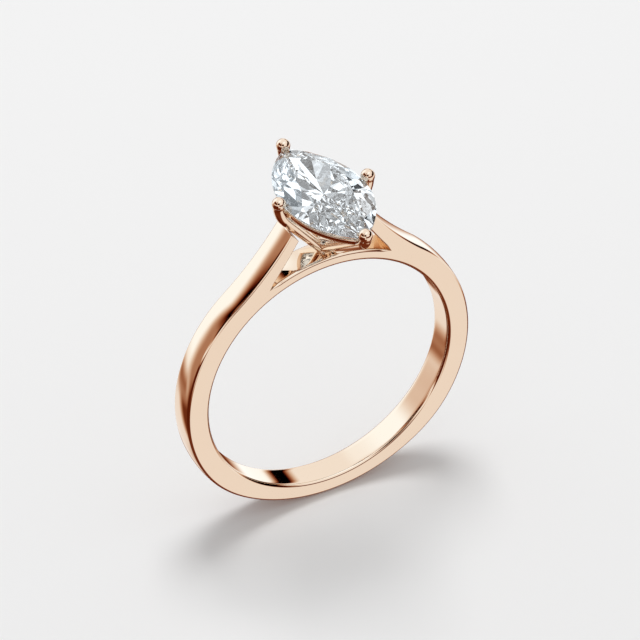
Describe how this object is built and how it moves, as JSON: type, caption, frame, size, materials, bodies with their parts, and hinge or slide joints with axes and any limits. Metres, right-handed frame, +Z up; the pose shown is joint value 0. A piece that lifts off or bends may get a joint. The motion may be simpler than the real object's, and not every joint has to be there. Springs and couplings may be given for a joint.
{
  "type": "engagement ring",
  "caption": "Solitaire engagement ring with a marquise stone in claws over cathedral shoulders, a bridge and a plain comfort-edged band.",
  "frame": {"origin": "centre of the finger hole, midway through the band's width", "axes": "+Y along the finger hole's axis, +Z up towards the stone, +X to the right shoulder"},
  "size_m": [0.0196, 0.011, 0.0233],
  "materials": {
    "rose_gold": "mirror-polished 18 carat rose gold",
    "diamond": "cut and polished colourless stone"
  },
  "bodies": {
    "root": {"shank": "rose_gold", "shoulder_left": "rose_gold", "shoulder_right": "rose_gold", "bridge": "rose_gold", "head_collar": "rose_gold", "claw_left": "rose_gold", "claw_right": "rose_gold", "claw_front": "rose_gold", "claw_back": "rose_gold", "gallery_rail_left": "rose_gold", "gallery_rail_right": "rose_gold", "stone": "diamond"}
  },
  "joints": []
}
